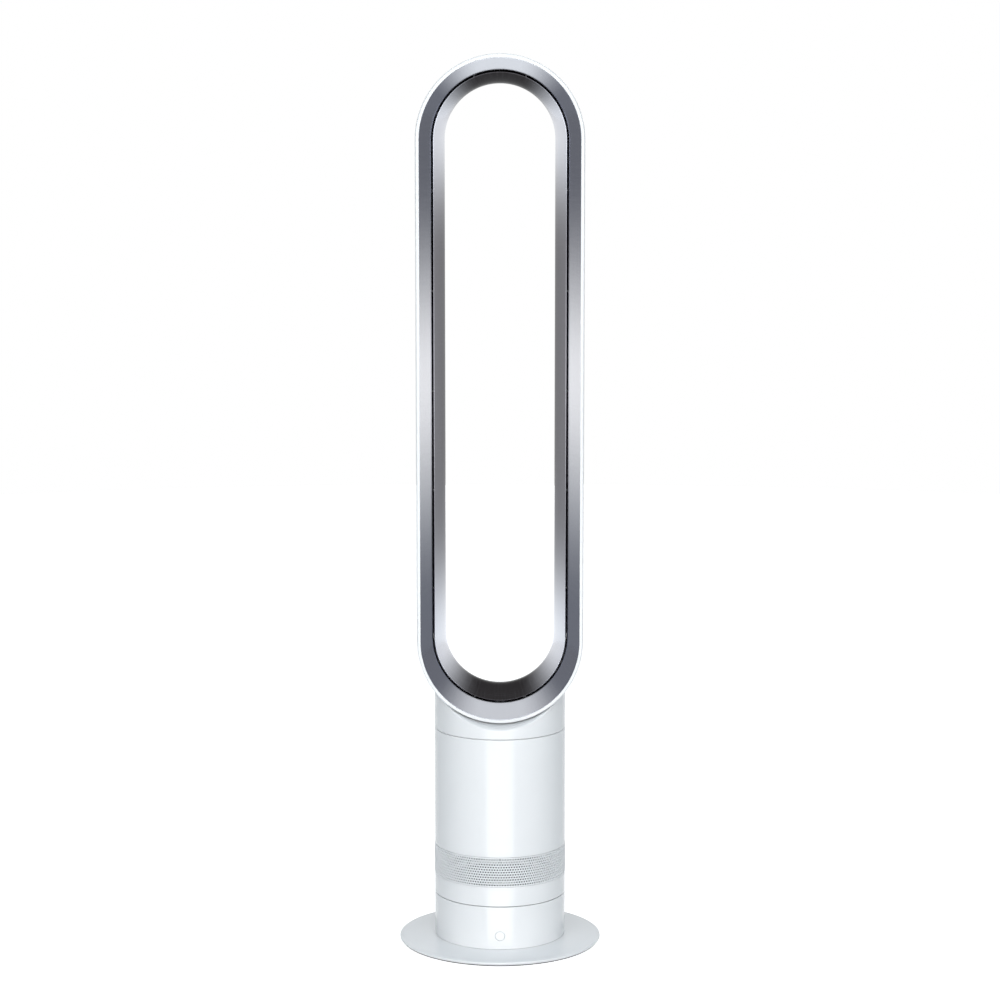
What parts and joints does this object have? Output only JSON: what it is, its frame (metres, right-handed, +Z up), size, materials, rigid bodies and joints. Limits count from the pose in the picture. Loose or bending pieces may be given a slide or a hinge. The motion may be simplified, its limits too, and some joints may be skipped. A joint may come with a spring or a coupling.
{
  "type": "bladeless fan",
  "caption": "Tall bladeless fan: a stadium-shaped air loop on a round body with a perforated intake, swinging on a fixed round base.",
  "frame": {"origin": "on the floor, under the centre of the base plate", "axes": "+Z up along the fan's height, the front with the power button faces -Y, the cord gland faces +Y"},
  "size_m": [0.23, 0.23, 1.0069],
  "materials": {
    "white_shell": "smooth white moulded plastic, light satin gloss",
    "satin_silver": "satin metallic paint with fine streaks along the band",
    "grille_skin": "perforated sheet, painted white",
    "steel": "plain turned or pressed steel",
    "black_rubber": "matte black rubber",
    "grey_plastic": "matte moulded grey plastic",
    "ivory_plastic": "natural acetal",
    "board": "green circuit board",
    "foam": "open-cell foam",
    "alloy": "cast alloy",
    "copper": "enamelled copper wire",
    "black_plastic": "matte black plastic"
  },
  "bodies": {
    "base": {"base_plate": "white_shell", "base_weight": "steel", "foot_ring": "black_rubber", "base_screws": "steel", "base_housing": "white_shell", "base_chassis": "grey_plastic", "chassis_screws": "steel", "lower_race": "steel", "bearing_balls": "steel", "ball_cage": "ivory_plastic", "pivot_clip": "steel", "swivel_motor": "steel", "control_board": "board", "board_parts": "black_plastic", "display_board": "board", "button_switch": "black_plastic", "button_spring": "steel", "cord_gland": "white_shell", "gland_nut": "white_shell", "base_lead": "black_plastic"},
    "button": {"power_button": "white_shell"},
    "pinion": {"drive_pinion": "ivory_plastic"},
    "tower": {"turntable": "grey_plastic", "ring_gear": "ivory_plastic", "upper_race": "steel", "tower_screws": "steel", "lower_collar": "white_shell", "foam_silencer": "foam", "inlet_cage": "grey_plastic", "inlet_grille": "grille_skin", "body_shell": "white_shell", "bell_mouth": "grey_plastic", "mount_bushes": "black_rubber", "impeller_housing": "grey_plastic", "diffuser": "grey_plastic", "bucket_cap": "grey_plastic", "motor_frame": "alloy", "motor_end_cap": "alloy", "motor_bearings": "steel", "motor_stator": "steel", "motor_coils": "copper", "duct_bellows": "black_rubber", "neck_collar": "white_shell", "loop_screws": "steel", "loop_outer_shell": "white_shell", "front_band_top": "satin_silver", "front_band_sides": "satin_silver", "front_band_bottom": "satin_silver", "inner_band_top": "satin_silver", "inner_band_sides": "satin_silver", "inner_band_bottom": "satin_silver", "slot_spacers": "black_plastic", "flow_splitter": "grey_plastic", "tower_lead": "black_plastic"},
    "rotor": {"motor_shaft": "steel", "motor_rotor": "black_plastic", "impeller": "grey_plastic", "impeller_nut": "steel"}
  },
  "joints": [
    {"name": "swivel", "type": "hinge", "parent": "base", "child": "tower", "pos_m": [0, 0, 0.0544], "axis": [0, 0, 1], "range_deg": [-35, 35]},
    {"name": "pinion_spin", "type": "hinge", "parent": "base", "child": "pinion", "pos_m": [-0.03504, 0, 0.0454], "axis": [0, 0, 1], "range_deg": [-175.5, 175.5]},
    {"name": "impeller_spin", "type": "hinge", "parent": "tower", "child": "rotor", "pos_m": [0, 0, 0.15], "axis": [0, 0, 1], "continuous": true},
    {"name": "power_press", "type": "slide", "parent": "base", "child": "button", "axis": [0, 1, 0], "range_m": [0, 0.001], "stiffness_N_per_m": 400, "springref_m": -0.001, "deforming": ["button_spring"]}
  ],
  "couplings": [
    {"joint": "pinion_spin", "follows": "swivel", "ratio": 5}
  ]
}
